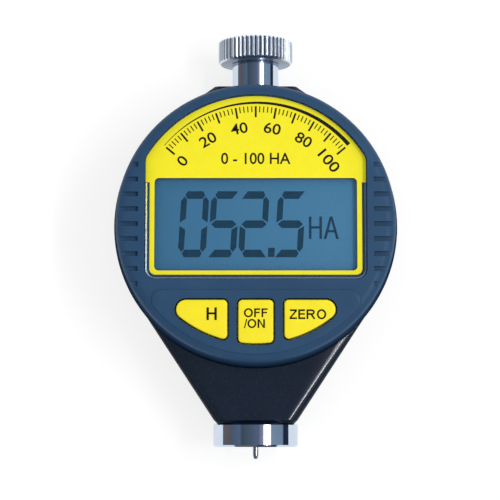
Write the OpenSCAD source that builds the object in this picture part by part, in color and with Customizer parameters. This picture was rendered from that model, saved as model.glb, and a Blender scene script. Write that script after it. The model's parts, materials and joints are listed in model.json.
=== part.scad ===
// Pocket digital durometer for rubber and soft plastics, lying on its back.
// X runs to the right, Y up the measuring axis from the presser foot to the knob, Z out of the face.
// The origin is the centre of the round case on the outer face of the back cover. Millimetres.

/* [Overall] */
// Outer diameter of the round front case at its seam with the metal body
case_d = 59.8; // [58:0.2:64]
// Height of the seam between the metal body and the front case, above the back cover
split_z = 15.5; // [14:0.1:17]
// Height of the front case from that seam to its face
case_h = 9; // [8.2:0.1:11]
// Depth of the measuring axis below the seam
axis_drop = 6; // [5.5:0.1:6.6]
// Distance from the edge of the case down to the presser face
foot_reach = 16.4; // [14:0.1:22]

/* [Metal body] */
// How far the round part of the die-cast body lies inside the edge of the case
body_step = 0.2; // [0.2:0.1:1]
// Wall around the cavity of the body
body_wall = 3.5; // [3:0.1:4]
// Rounding of the edges of the round part
body_edge_r = 1; // [0.6:0.1:1.4]
// Width of the neck above the presser foot
neck_w = 17.6; // [15:0.1:17.8]
// Depth of the neck from front to back
neck_depth = 15; // [14:0.1:16]
// Rounding of the long edges of the neck
neck_edge_r = 2.5; // [1.5:0.1:3.5]
// Width of the flat on top, where the stem stands
boss_w = 17.6; // [14:0.1:20]
// Distance from the edge of the case up to that flat
boss_rise = 0.2; // [0.1:0.1:3]

/* [Back cover] */
// Thickness of the back cover
cover_t = 1.6; // [1.4:0.1:2]
// How far the cover stands out of the back of the body
cover_proud = 0.5; // [0.2:0.1:0.8]
// Width of the ledge in the body that the cover lies on
cover_ledge = 1.5; // [1:0.1:2]
// Diameter of the coin-slot battery cap
cap_d = 14; // [13.6:0.1:15]
// Diameter of the button cell
cell_d = 11.6; // [11:0.1:12]
// Height of the button cell
cell_h = 5.4; // [4.6:0.1:5.6]

/* [Front case] */
// Wall of the front case
case_wall = 2.4; // [2:0.1:2.8]
// Draft angle of the side of the front case
case_draft = 6.5; // [0:0.5:8]
// Rounding of the front edge of the case
case_edge_r = 2.3; // [1.5:0.1:3]
// Thickness of the case under the window
floor_t = 1.2; // [1:0.1:1.6]
// Distance from the side of the window out to the grips
grip_gap = 1.4; // [0.6:0.1:2]
// Distance from the case centre down to the middle grip groove
grip_low = 0.5; // [0:0.1:1]
// Number of grip grooves on each side
grip_n = 9; // [5:2:11]
// Spacing of the grip grooves
grip_pitch = 3.1; // [2.4:0.1:3.4]
// Width of a grip groove
groove_w = 1; // [0.6:0.1:1.4]
// Depth of a grip groove
groove_depth = 0.8; // [0.4:0.1:0.9]
// Height of the raised key panel
panel_h = 0.4; // [0.2:0.1:0.6]
// Distance from the edge of the case in to the key panel
panel_margin = 2.4; // [2.2:0.1:3]
// Distance from the foot of the window down to the key panel
panel_gap = 2.2; // [1.4:0.1:2.4]

/* [Window] */
// Distance from the edge of the case in to the sides of the window
lens_side = 6.95; // [6.2:0.05:8]
// Thickness of the clear window
lens_t = 1.5; // [1.2:0.1:1.8]
// How far the window stands out of the face
lens_proud = 0.2; // [0:0.05:0.4]
// Distance from the edge of the case in to the arch of the window
lens_margin = 3.3; // [2.4:0.1:3.6]
// Distance from the case centre down to the foot of the window
lens_bottom = 11.9; // [11:0.1:13]
// Rounding of the lower corners of the window
lens_corner_r = 2.2; // [1.4:0.1:2.6]
// Rounding between the sides of the window and its arch
lens_shoulder_r = 3.4; // [1.4:0.1:5]
// Bevel around the front of the window
lens_bevel = 0.3; // [0.2:0.1:0.8]
// Thickness of the printed film behind the window
label_t = 0.2; // [0.15:0.05:0.3]
// Clear border of the window beside and below the print
label_border = 0.95; // [0.6:0.05:1.2]
// Distance from the sides of the window in to the display opening
view_side = 1.95; // [1.8:0.05:4]
// Distance from the case centre up to the top of the display opening
view_top = 9.2; // [8:0.1:9.6]
// Distance from the foot of the window up to the display opening
view_foot = 1.8; // [1.6:0.1:3]
// Rounding of the corners of the display opening
view_corner_r = 0.9; // [0.5:0.1:1.4]

/* [Keys] */
// Distance from the edge of the key panel in to the keys
key_margin = 2.25; // [1.8:0.05:2.6]
// Distance from the top of the key panel down to the keys
key_top_gap = 2.2; // [1.6:0.1:2.6]
// Width of the middle key
power_w = 7.2; // [6:0.1:8]
// Bar of the case between two keys
key_bar = 2.25; // [1.8:0.05:2.4]
// Rounding of the outer nose of the side keys
nose_r = 2; // [1.5:0.1:3.2]
// Rounding of the other corners of the keys
key_corner_r = 0.9; // [0.5:0.1:1.2]
// How far a key stands out of the panel
key_proud = 0.6; // [0.4:0.1:0.9]
// Thickness of the flange that keeps a key in the case
flange_t = 1.2; // [0.9:0.1:1.4]

/* [Measuring mechanism] */
// Travel of the indenter, and how far it stands out of the foot at rest
travel = 2.5; // [2:0.1:3]
// Diameter of the indenter
indenter_d = 1.25; // [1.1:0.05:1.4]
// Diameter of the flat on the indenter's tip
tip_d = 0.79; // [0.5:0.01:0.9]
// Included angle of the indenter's tip
tip_angle = 35; // [28:1:40]
// Diameter of the presser foot
foot_d = 18; // [17.5:0.1:18.6]
// Height of the presser foot
foot_h = 5; // [4:0.1:6]
// Diameter of the hole in the presser foot
foot_hole_d = 3; // [2.8:0.1:3.4]
// Diameter of the threaded spigot of the presser foot
spigot_d = 10; // [9:0.1:10.4]
// Length of that spigot
spigot_h = 4; // [3.5:0.1:5]
// Diameter of the spindle
spindle_d = 4; // [3.6:0.1:4.2]
// Outer diameter of the lower bush
bush_d = 7; // [6.4:0.1:7.6]
// Length of the lower bush
bush_h = 8; // [6:0.1:9]
// Diameter of the guide rod beside the spindle
rod_d = 2; // [1.6:0.1:2.4]
// Distance from the spindle to the guide rod
rod_x = 9; // [8.5:0.1:10]
// Wire diameter of the measuring spring
wire_d = 0.7; // [0.5:0.05:0.8]
// Mean diameter of the measuring spring
coil_d = 5.3; // [5:0.1:5.4]
// Length of the measuring spring at rest
spring_h = 10; // [9:0.1:10.5]
// Turns of the measuring spring
spring_turns = 7; // [5:0.5:8]

/* [Handle] */
// Width of the shoulder of the stem on the body
stem_shoulder = 0.5; // [0.3:0.1:1]
// Length of the stem between the body and the knob
stem_l = 5.8; // [4.5:0.1:8]
// Wall of the stem inside the body
shank_wall = 1.3; // [1:0.1:1.5]
// Wall of the stem's thread under the knob
stem_top_wall = 0.8; // [0.6:0.1:1.2]
// Diameter of the knob
knob_d = 16; // [14:0.1:20]
// Height of the knob
knob_h = 5; // [4.5:0.1:7]
// Number of teeth around the knob
knurl_n = 50; // [36:1:60]
// Depth of the knurl
knurl_depth = 0.35; // [0.2:0.05:0.5]

/* [Clearances] */
// Radial clearance of a piece that is pressed or screwed in
fit = 0.05; // [0.02:0.01:0.08]
// Radial clearance of a piece that slides or turns
run = 0.04; // [0.02:0.01:0.08]
// Gap around the keys and around the posts in the main board
gap = 0.35; // [0.25:0.05:0.45]
// Gap between the measuring spring and the bore of the stem
spring_gap = 0.2; // [0.1:0.05:0.4]

/* [Hidden] */
$fn = 64;
fine = 180;
past = 1;

// Colours
ink_blue = "#2f4f73";
key_yellow = "#fdec1e";
body_black = "#1b222c";
chrome = "#c9d2dc";
steel = "#9aa3ab";
brass = "#c8a24a";
board_green = "#1f6b45";

// Heights through the front case
case_r = case_d / 2;
case_in_r = case_r - case_wall;
face_z = split_z + case_h;
lens_z1 = face_z + lens_proud;
lens_z0 = lens_z1 - lens_t;
label_gap = 0.1;
label_z0 = lens_z0 - label_gap - label_t;
ceiling_z = label_z0 - floor_t;
panel_z = face_z + panel_h;
board_gap = 0.9;
board_t = 1.2;
board_z0 = split_z + board_gap;
board_z1 = board_z0 + board_t;

// Metal body
axis_z = split_z - axis_drop;
body_r = case_r - body_step;
cavity_r = body_r - body_wall;
foot_y = -case_r - foot_reach;
neck_y = foot_y + foot_h;
neck_taper = 0.6;
boss_top = case_r + boss_rise;
boss_depth = 12;
boss_edge_r = 1.2;

// Screws that hold the front case, and the posts that they run into
post_d = 4;
post_inset = 2.2;
post_r = cavity_r - post_inset;
lug_d = 6;
lug_t = 3;
screw_d = 2;
head_d = 3.8;
head_h = 1.3;
case_screw_h = 4.5;

// Screws of the back cover
cover_r = cavity_r + cover_ledge;
cover_screw_inset = 1.6;
cover_screw_r = cavity_r - cover_screw_inset;
cover_screw_angles = [70, 110, 245, 295];
column_d = 5.2;
column_roof = 0.8;
column_gap = 0.5;
column_z1 = axis_z - rod_d / 2 - column_gap;
cover_head_h = 0.9;
cover_screw_z1 = column_z1 - column_roof - column_gap;

// Scale and its carrier
sensor_w = 12;
sensor_l = 28;
sensor_t = 1;
sensor_gap = 0.2;
strip_w = 10;
strip_l = 22;
strip_t = 0.8;
strip_y0 = -8;
strip_z1 = board_z0 - sensor_t - sensor_gap;
strip_z0 = strip_z1 - strip_t;
carrier_w = 9;
carrier_l = 12;
carrier_back = 3.2;
arm_l = 6;
arm_h = 4.4;

// Battery bay on the back cover
cap_r = cap_d / 2;
cap_sink = 0.15;
cap_h = 1.8;
cell_z0 = cap_sink + cap_h + fit;
cell_z1 = cell_z0 + cell_h;
cup_wall = 1.2;
cup_r = cap_r + cup_wall;
cup_top_t = 1;
cup_top_gap = 0.2;
cup_top_z = cell_z1 + cup_top_gap;
cup_gap = 1.8;
cell_x = carrier_w / 2 + cup_gap + cup_r;
cell_y = 1;
seal_d = 0.7;
coin_slot_w = 1.5;
coin_slot_depth = 0.9;
coin_slot_inset = 2.5;
contact_pin_d = 2;
contact_collar_d = 4;
contact_collar_h = 1.2;
contact_strip_rise = 1;
contact_pin_hole_d = 3.2;
contact_strip_w = 2.4;
contact_strip_t = 0.3;

// Window and display
lens_w = case_d - 2 * lens_side;
view_w = lens_w - 2 * view_side;
view_bottom = lens_bottom - view_foot;
label_edge = 0.15;
shoulder_drop = 0.9;
glass_margin = 1;
glass_w = view_w + 2 * glass_margin;
glass_y0 = -view_bottom - glass_margin;
glass_y1 = view_top + glass_margin;
lcd_gap = 0.1;
front_glass_t = 1.1;
back_glass_t = 1.3;
ledge_w = 2.2;
lcd_z1 = ceiling_z - lcd_gap;
lcd_mid_z = lcd_z1 - front_glass_t;
lcd_z0 = lcd_mid_z - back_glass_t;
frame_wall = 0.8;
zebra_w = 1.6;

// Posts for the case screws: two above the display, two just below its frame
post_gap = 0.5;
post_tilt = 48;
post_x1 = post_r * cos(post_tilt);
post_y1 = post_r * sin(post_tilt);
post_y0 = glass_y0 - frame_wall - post_gap - post_d / 2;
post_x0 = sqrt(pow(post_r, 2) - pow(post_y0, 2));
posts = [[post_x1, post_y1], [-post_x1, post_y1], [-post_x0, post_y0], [post_x0, post_y0]];

// Main board and its screws
board_edge_gap = 0.4;
board_r = case_in_r - board_edge_gap;
board_post_d = 3.2;
board_post_x0 = glass_w / 2 + frame_wall + post_gap + board_post_d / 2;
board_post_x1 = 9;
board_post_inset = 7.1;
board_post_y1 = case_in_r - board_post_inset;
board_posts = [[-board_post_x1, board_post_y1], [board_post_x1, board_post_y1],
    [-board_post_x0, 0], [board_post_x0, 0]];
board_screw_d = 1.6;
board_head_d = 3;
board_head_gap = 0.1;
board_head_h = board_gap - board_head_gap;
board_screw_h = 4;

// Keys
grip_x = lens_w / 2 + grip_gap;
panel_r = case_r - panel_margin;
panel_top = lens_bottom + panel_gap;
panel_corner_r = 2.2;
key_top = panel_top + key_top_gap;
key_r = panel_r - key_margin;
side_key_x = power_w / 2 + key_bar;
key_z1 = panel_z + key_proud;
flange_z0 = ceiling_z - flange_t;
flange_w = 0.8;
key_edge = 0.35;
mat_t = 0.8;
mat_margin = 1;
mat_x = post_x0 - post_d / 2 - post_gap;
dome_d0 = 6;
dome_d1 = 4.2;
dome_inset = [4.2, 3.6];
dome_x = side_key_x + dome_inset.x;
dome_y = -key_top - dome_inset.y;

// Spindle line, from the foot up
spigot_top = neck_y + spigot_h;
spigot_bore_gap = 0.5;
spigot_bore_d = spindle_d + 2 * spigot_bore_gap;
foot_skin = 0.5;
spindle_y0 = neck_y + spigot_bore_gap;
indenter_grip = 5;
indenter_y1 = spindle_y0 + indenter_grip;

// Stem line, from the knob down to the upper bush
knob_gap = 0.1;
knob_roof = 1.4;
stem_y1 = boss_top + stem_l;
knob_y0 = stem_y1 + knob_gap;
knob_bore_h = knob_h - knob_roof;
stem_top_h = knob_bore_h - knob_gap;
adjuster_h = 3.2;
adjuster_sink = 0.85;
seat_h = 1.2;
seat_pilot_h = 2;
seat_gap = 0.05;
upper_bush_h = 4;
spring_y1 = stem_y1 + stem_top_h - adjuster_sink - adjuster_h;
spring_y0 = spring_y1 - spring_h;
seat_y = spring_y0 - seat_h;
shank_y = seat_y - seat_gap - upper_bush_h;
seat_d = coil_d + wire_d - spring_gap;
spindle_tip_d = 2.4;
spindle_tip_h = seat_h + seat_pilot_h;
stem_bore = coil_d + wire_d + 2 * spring_gap;
shank_d = stem_bore + 2 * shank_wall;
stem_d = shank_d + 2 * stem_shoulder;
stem_top_d = stem_bore + 2 * stem_top_wall;
rod_grip = 2;
rod_y1 = sqrt(pow(cavity_r, 2) - pow(rod_x, 2)) + rod_grip;

// Points along an arc from angle a0 to a1, in n steps
function arc(centre, r, a0, a1, n = 8) =
    [for (i = [0:n]) centre + r * [cos(a0 + (a1 - a0) * i / n), sin(a0 + (a1 - a0) * i / n)]];

// Puts children drawn along Z onto the measuring axis, starting at y
module on_axis(y) {
    translate([0, y, axis_z]) rotate([-90, 0, 0]) children();
}

// Repeats children at each angle of a list, at radius r about the case centre
module around(r, angles) {
    for (a = angles) rotate([0, 0, a]) translate([r, 0, 0]) children();
}

// Repeats children at the posts of the case screws, turned to face outwards
module at_posts() {
    for (p = posts) translate(p) rotate([0, 0, atan2(p.y, p.x)]) children();
}

// A rectangle with round corners, from its lower left to its upper right corner
module round_rect(low, high, r) {
    offset(r) translate(low + [r, r]) square(high - low - [2 * r, 2 * r]);
}

// Rounds the outer corners of a flat shape
module round_corners(r) {
    offset(r) offset(delta = -r) children();
}

// A plate from z0 to z1 with a bevelled upper edge, for outlines with no hollows
module bevelled(z0, z1, bevel) {
    hull() {
        translate([0, 0, z0]) linear_extrude(z1 - bevel - z0) children();
        translate([0, 0, z0]) linear_extrude(z1 - 0.3 * bevel - z0)
            offset(delta = -0.3 * bevel) children();
        translate([0, 0, z0]) linear_extrude(z1 - z0) offset(delta = -bevel) children();
    }
}

// Puts children at the corner centres of a rectangle w by h with corners of radius r
module four_corners(w, h, r) {
    for (x = [-1, 1], y = [-1, 1]) translate([x * (w / 2 - r), y * (h / 2 - r), 0]) children();
}

// A screw along Z: the head's outer face at z = 0, the shank going up
module screw(d, l, hd, hh) {
    slot_w = 0.22 * hd;
    slot_depth = 0.45 * hh;
    difference() {
        union() {
            cylinder(d = hd, h = hh);
            cylinder(d = d, h = hh + l);
        }
        for (a = [45, 135]) rotate([0, 0, a]) translate([-0.35 * hd, -slot_w / 2, -past])
            cube([0.7 * hd, slot_w, slot_depth + past]);
    }
}

// Outlines on the face

module lens_blank() {
    intersection() {
        circle(case_r - lens_margin, $fn = fine);
        translate([-lens_w / 2, -lens_bottom]) square([lens_w, case_d]);
    }
}

module lens_outline() {
    intersection() {
        round_corners(lens_shoulder_r) lens_blank();
        translate([-case_r, -past]) square([case_d, case_d]);
    }
    intersection() {
        round_corners(lens_corner_r) lens_blank();
        translate([-case_r, -case_d]) square([case_d, case_d]);
    }
}

module view_outline() {
    round_rect([-view_w / 2, -view_bottom], [view_w / 2, view_top], view_corner_r);
}

// The print fills the arch, and frames the display inside the window's clear border
module label_outline() {
    shoulder_y = view_top - shoulder_drop;
    difference() {
        union() {
            intersection() {
                offset(delta = -label_edge) lens_outline();
                translate([-case_r, shoulder_y]) square(case_d);
            }
            intersection() {
                offset(delta = -label_border) lens_outline();
                translate([-case_r, -case_d + shoulder_y]) square(case_d);
            }
        }
        view_outline();
    }
}

module panel_outline() {
    round_corners(panel_corner_r) intersection() {
        circle(panel_r, $fn = fine);
        translate([-case_r, -case_d - panel_top]) square(case_d);
    }
}

// One key, cut from the arc under the display between x0 and x1
module key_outline(x0, x1) {
    round_corners(key_corner_r) intersection() {
        round_corners(nose_r) intersection() {
            circle(key_r, $fn = fine);
            translate([-case_r, -case_d - key_top]) square(case_d);
        }
        translate([x0, -case_d]) square([x1 - x0, case_d]);
    }
}

module hold_outline() {
    key_outline(-case_r, -side_key_x);
}

module power_outline() {
    key_outline(-power_w / 2, power_w / 2);
}

module zero_outline() {
    key_outline(side_key_x, case_r);
}

// Metal body and back cover

module body_blank() {
    hull() {
        rotate_extrude($fn = 72) polygon(concat(
            [[0, cover_proud]],
            arc([body_r - body_edge_r, cover_proud + body_edge_r], body_edge_r, -90, 0, 4),
            arc([body_r - body_edge_r, split_z - body_edge_r], body_edge_r, 0, 90, 4),
            [[0, split_z]]));
        on_axis(neck_y) four_corners(neck_w, neck_depth, neck_edge_r) {
            cylinder(r1 = neck_edge_r - neck_taper, r2 = neck_edge_r, h = neck_taper, $fn = 32);
            translate([0, 0, neck_taper]) cylinder(r = neck_edge_r, h = 1, $fn = 32);
        }
        on_axis(boss_top - 1) four_corners(boss_w, boss_depth, boss_edge_r)
            cylinder(r = boss_edge_r, h = 1, $fn = 32);
    }
}

// Lug on the cavity wall that a front case screw passes through
module case_lug() {
    reach = cavity_r - post_r + past;
    cylinder(d = lug_d, h = lug_t);
    translate([0, -0.45 * lug_d, 0]) cube([reach, 0.9 * lug_d, lug_t]);
}

module metal_body() {
    color(body_black) difference() {
        union() {
            difference() {
                body_blank();
                translate([0, 0, split_z]) cylinder(r = case_r + fit, h = case_d, $fn = fine);
                translate([0, 0, -past]) cylinder(r = cavity_r, h = case_d);
                translate([0, 0, -past]) cylinder(r = cover_r + fit, h = cover_t + past);
            }
            translate([0, 0, split_z - lug_t]) at_posts() case_lug();
            translate([0, 0, cover_t]) around(cover_screw_r, cover_screw_angles)
                cylinder(d = column_d, h = column_z1 - cover_t);
        }
        translate([0, 0, split_z - lug_t - past]) at_posts()
            cylinder(d = screw_d + 4 * fit, h = lug_t + 2 * past);
        translate([0, 0, cover_t - past]) around(cover_screw_r, cover_screw_angles)
            cylinder(d = screw_d + 2 * fit, h = column_z1 - column_roof - cover_t + past);
        translate([0, 0, cover_t]) at_posts()
            cylinder(d = head_d + 4 * fit, h = split_z - lug_t - cover_t);
        on_axis(neck_y - past) cylinder(d = spigot_d + 2 * fit, h = spigot_h + past);
        on_axis(neck_y - past) cylinder(d = bush_d + 2 * fit, h = -neck_y);
        on_axis(0) cylinder(d = shank_d + 2 * fit, h = boss_top + past);
        translate([-rod_x, -rod_y1, axis_z]) rotate([-90, 0, 0])
            cylinder(d = rod_d + 2 * fit, h = 2 * rod_y1);
    }
}

module back_cover() {
    strip_x = cell_d / 2 + fit;
    color(body_black) difference() {
        union() {
            cylinder(r = cover_r, h = cover_t);
            translate([cell_x, cell_y, 0]) cylinder(r = cup_r, h = cup_top_z + cup_top_t);
        }
        around(cover_screw_r, cover_screw_angles) {
            translate([0, 0, -past]) cylinder(d = screw_d + 4 * fit, h = cover_t + 2 * past);
            translate([0, 0, -past]) cylinder(d = head_d + 4 * fit, h = cap_sink + cover_head_h + past);
        }
        translate([cell_x, cell_y, 0]) {
            translate([0, 0, -past]) cylinder(r = cap_r + run, h = cell_z0 + past);
            cylinder(d = cell_d + 2 * fit, h = cup_top_z);
            cylinder(d = contact_pin_hole_d, h = cup_top_z + cup_top_t + past);
            translate([strip_x - past, -contact_strip_w / 2 - fit, cell_z0 + contact_strip_rise])
                cube([contact_strip_t + past + fit, contact_strip_w + 2 * fit, cell_h + cup_top_t]);
        }
    }
}

module cover_screws() {
    color(steel) translate([0, 0, cap_sink]) around(cover_screw_r, cover_screw_angles)
        screw(screw_d, cover_screw_z1 - cap_sink - cover_head_h, head_d, cover_head_h);
}

module battery_cap() {
    coin_slot = [cap_d - 2 * coin_slot_inset, coin_slot_w, coin_slot_depth];
    seal_z = cap_h / 2;
    color(body_black) translate([cell_x, cell_y, cap_sink]) difference() {
        cylinder(r = cap_r, h = cap_h);
        translate([0, 0, seal_z - seal_d / 2]) difference() {
            cylinder(r = cap_r + past, h = seal_d);
            translate([0, 0, -past]) cylinder(r = cap_r - seal_d, h = seal_d + 2 * past);
        }
        translate([-coin_slot.x / 2, -coin_slot.y / 2, -past]) cube(coin_slot + [0, 0, past]);
    }
}

module cap_seal() {
    section_r = seal_d / 2 - fit / 2;
    color("#15181c") translate([cell_x, cell_y, cap_sink + cap_h / 2])
        rotate_extrude() translate([cap_r - seal_d / 2, 0]) circle(section_r, $fn = 24);
}

module battery_cell() {
    step = 0.5;
    color(chrome) translate([cell_x, cell_y, cell_z0]) {
        cylinder(d = cell_d, h = cell_h - step);
        cylinder(d = cell_d - 4 * step, h = cell_h);
    }
}

// A pin on the cell's cap and a strip along its side, both up to the main board
module battery_contacts() {
    color(brass) translate([cell_x, cell_y, 0]) {
        translate([0, 0, cell_z1]) cylinder(d = contact_pin_d, h = board_z0 - cell_z1);
        translate([0, 0, cup_top_z + cup_top_t + fit]) cylinder(d = contact_collar_d, h = contact_collar_h);
        translate([cell_d / 2 + fit, -contact_strip_w / 2, cell_z0 + contact_strip_rise])
            cube([contact_strip_t, contact_strip_w, board_z0 - cell_z0 - contact_strip_rise]);
    }
}

// Front case and what sits in it

// The drafted side runs into the rounding of the front edge
module case_shell() {
    edge_z = face_z - case_edge_r;
    edge_x = case_r - (edge_z - split_z) * tan(case_draft) - case_edge_r / cos(case_draft);
    difference() {
        rotate_extrude($fn = fine) polygon(concat(
            [[0, split_z], [case_r, split_z]],
            arc([edge_x, edge_z], case_edge_r, case_draft, 90),
            [[0, face_z]]));
        translate([0, 0, split_z - past]) cylinder(r = case_in_r, h = ceiling_z - split_z + past);
    }
}

module grip_cuts() {
    reach = case_r - grip_x + past;
    first_y = -grip_low - grip_pitch * (grip_n - 1) / 2 - groove_w / 2;
    for (side = [0, 1], i = [0:grip_n - 1]) mirror([side, 0, 0])
        translate([grip_x, first_y + i * grip_pitch, face_z - groove_depth])
            cube([reach, groove_w, groove_depth + past]);
}

module front_case() {
    color(ink_blue) difference() {
        union() {
            case_shell();
            bevelled(ceiling_z, panel_z, panel_h) panel_outline();
            translate([0, 0, split_z]) at_posts()
                cylinder(d = post_d, h = ceiling_z - split_z + floor_t / 2);
            for (p = board_posts) translate([p.x, p.y, board_z1])
                cylinder(d = board_post_d, h = ceiling_z - board_z1 + floor_t / 2);
        }
        grip_cuts();
        translate([0, 0, label_z0]) linear_extrude(lens_t + past) offset(delta = fit) lens_outline();
        translate([0, 0, ceiling_z - past]) linear_extrude(floor_t + 2 * past) view_outline();
        for (k = [0:2]) translate([0, 0, ceiling_z - past]) linear_extrude(case_d) offset(gap) {
            if (k == 0) hold_outline();
            if (k == 1) power_outline();
            if (k == 2) zero_outline();
        }
        translate([0, 0, split_z - past]) at_posts()
            cylinder(d = screw_d + 2 * fit, h = case_screw_h - lug_t + 2 * past);
        for (p = board_posts) translate([p.x, p.y, board_z1 - past])
            cylinder(d = board_screw_d + 2 * fit, h = board_screw_h - board_t + 2 * past);
    }
}

module case_screws() {
    color(steel) translate([0, 0, split_z - lug_t - head_h]) at_posts()
        screw(screw_d, case_screw_h, head_d, head_h);
}

module window_lens() {
    color("#dfe8ee", 0.35) bevelled(lens_z0, lens_z1, lens_bevel) lens_outline();
}

module face_label() {
    color(key_yellow) translate([0, 0, label_z0]) linear_extrude(label_t) label_outline();
}

// Two glass plates: the front one overhangs at top and bottom, where its contacts are
module lcd_panel() {
    glass_h = glass_y1 - glass_y0;
    color("#42789b") translate([-glass_w / 2, glass_y0, lcd_z0]) {
        translate([0, 0, back_glass_t]) cube([glass_w, glass_h, front_glass_t]);
        translate([0, ledge_w, 0]) cube([glass_w, glass_h - 2 * ledge_w, back_glass_t]);
    }
}

module lcd_frame() {
    low = [-glass_w / 2, glass_y0];
    high = [glass_w / 2, glass_y1];
    margin = [frame_wall, frame_wall];
    slack = [lcd_gap, lcd_gap];
    color("#e4e6e2") translate([0, 0, board_z1]) linear_extrude(ceiling_z - board_z1) difference() {
        translate(low - margin) square(high - low + 2 * margin);
        translate(low - slack) square(high - low + 2 * slack);
    }
}

module zebra_strips() {
    inset = (ledge_w - zebra_w) / 2;
    for (y = [glass_y0 + inset, glass_y1 - inset - zebra_w])
        color("#4a4f55") translate([-glass_w / 2 + glass_margin, y, board_z1])
            cube([glass_w - 2 * glass_margin, zebra_w, lcd_mid_z - board_z1]);
}

module main_board() {
    color(board_green) difference() {
        translate([0, 0, board_z0]) cylinder(r = board_r, h = board_t, $fn = fine);
        translate([0, 0, board_z0 - past]) at_posts()
            cylinder(d = post_d + 2 * gap, h = board_t + 2 * past);
        for (p = board_posts) translate([p.x, p.y, board_z0 - past])
            cylinder(d = board_screw_d + 4 * fit, h = board_t + 2 * past);
    }
}

module board_screws() {
    color(steel) for (p = board_posts) translate([p.x, p.y, board_z0 - board_head_h])
        screw(board_screw_d, board_screw_h, board_head_d, board_head_h);
}

module sensor_board() {
    y0 = strip_y0 - (sensor_l - strip_l) / 2;
    color(board_green) translate([-sensor_w / 2, y0, board_z0 - sensor_t]) cube([sensor_w, sensor_l, sensor_t]);
}

// Silicone mat with one dome under each key
module key_mat() {
    color("#d9dcd8") {
        translate([0, 0, board_z1]) linear_extrude(mat_t) intersection() {
            circle(key_r + mat_margin, $fn = fine);
            translate([-mat_x, -case_d - key_top + mat_margin]) square([2 * mat_x, case_d]);
        }
        for (x = [-dome_x, 0, dome_x]) translate([x, dome_y, board_z1])
            cylinder(d1 = dome_d0, d2 = dome_d1, h = flange_z0 - board_z1);
    }
}

// A key: a cap through the case, on a flange that stops under the ceiling
module key() {
    bevelled(flange_z0, key_z1, key_edge) children();
    translate([0, 0, flange_z0]) linear_extrude(flange_t) offset(flange_w) children();
}

module hold_key() {
    color(key_yellow) key() hold_outline();
}

module power_key() {
    color(key_yellow) key() power_outline();
}

module zero_key() {
    color(key_yellow) key() zero_outline();
}

// Measuring mechanism

module presser_foot() {
    edge = 0.4;
    r = foot_d / 2;
    color(chrome) on_axis(foot_y) difference() {
        union() {
            rotate_extrude($fn = fine) polygon([[0, 0], [r - edge, 0], [r, edge],
                [r, foot_h - edge], [r - edge, foot_h], [0, foot_h]]);
            translate([0, 0, foot_h]) cylinder(d = spigot_d, h = spigot_h);
        }
        translate([0, 0, -past]) cylinder(d = foot_hole_d, h = foot_h + spigot_h + 2 * past);
        translate([0, 0, foot_h - foot_skin]) cylinder(d = spigot_bore_d, h = spigot_h + foot_skin + past);
    }
}

module lower_bush() {
    color(brass) on_axis(spigot_top) difference() {
        cylinder(d = bush_d, h = bush_h);
        translate([0, 0, -past]) cylinder(d = spindle_d + 2 * run, h = bush_h + 2 * past);
    }
}

module upper_bush() {
    color(brass) on_axis(shank_y) difference() {
        cylinder(d = stem_bore - 2 * fit, h = upper_bush_h);
        translate([0, 0, -past]) cylinder(d = spindle_d + 2 * run, h = upper_bush_h + 2 * past);
    }
}

module spindle() {
    color(steel) difference() {
        union() {
            on_axis(spindle_y0) cylinder(d = spindle_d, h = seat_y - spindle_y0);
            on_axis(seat_y) cylinder(d = spindle_tip_d, h = spindle_tip_h);
        }
        on_axis(spindle_y0 - past) cylinder(d = indenter_d + 2 * fit, h = indenter_grip + past);
    }
}

module indenter() {
    tip_y = foot_y - travel;
    cone_h = (indenter_d - tip_d) / 2 / tan(tip_angle / 2);
    r = indenter_d / 2;
    l = indenter_y1 - tip_y;
    color(chrome) on_axis(tip_y) rotate_extrude()
        polygon([[0, 0], [tip_d / 2, 0], [r, cone_h], [r, l], [0, l]]);
}

// Block on the spindle with an arm to the guide rod, which keeps it from turning
module scale_carrier() {
    back_z = axis_z - carrier_back;
    color("#2b2f36") difference() {
        union() {
            translate([-carrier_w / 2, -carrier_l / 2, back_z])
                cube([carrier_w, carrier_l, strip_z0 - back_z]);
            translate([-rod_x - arm_h / 2, -arm_l / 2, axis_z - arm_h / 2])
                cube([rod_x + arm_h / 2, arm_l, arm_h]);
        }
        on_axis(-carrier_l) cylinder(d = spindle_d + 2 * fit, h = 2 * carrier_l);
        translate([-rod_x, -carrier_l, axis_z]) rotate([-90, 0, 0])
            cylinder(d = rod_d + 2 * run, h = 2 * carrier_l);
        translate([0, 0, back_z - past]) cylinder(d = screw_d + 2 * fit, h = carrier_back + past);
    }
}

module carrier_screw() {
    slot = [screw_d + past, 0.5, 0.5];
    z0 = axis_z - carrier_back;
    color(steel) difference() {
        translate([0, 0, z0]) cylinder(d = screw_d, h = carrier_back);
        translate([-slot.x / 2, -slot.y / 2, z0 - past]) cube(slot + [0, 0, past]);
        on_axis(-carrier_l) cylinder(d = spindle_d, h = 2 * carrier_l);
    }
}

module scale_strip() {
    color("#b8c4c9") translate([-strip_w / 2, strip_y0, strip_z0]) cube([strip_w, strip_l, strip_t]);
}

module guide_rod() {
    color(steel) translate([-rod_x, -rod_y1, axis_z]) rotate([-90, 0, 0])
        cylinder(d = rod_d, h = 2 * rod_y1);
}

module spring_seat() {
    pilot_d = coil_d - wire_d - 0.3;
    color(brass) on_axis(seat_y) difference() {
        union() {
            cylinder(d = seat_d, h = seat_h);
            cylinder(d = pilot_d, h = seat_h + seat_pilot_h);
        }
        translate([0, 0, -past]) cylinder(d = spindle_tip_d + 2 * fit, h = spindle_tip_h + 2 * past);
    }
}

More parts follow.
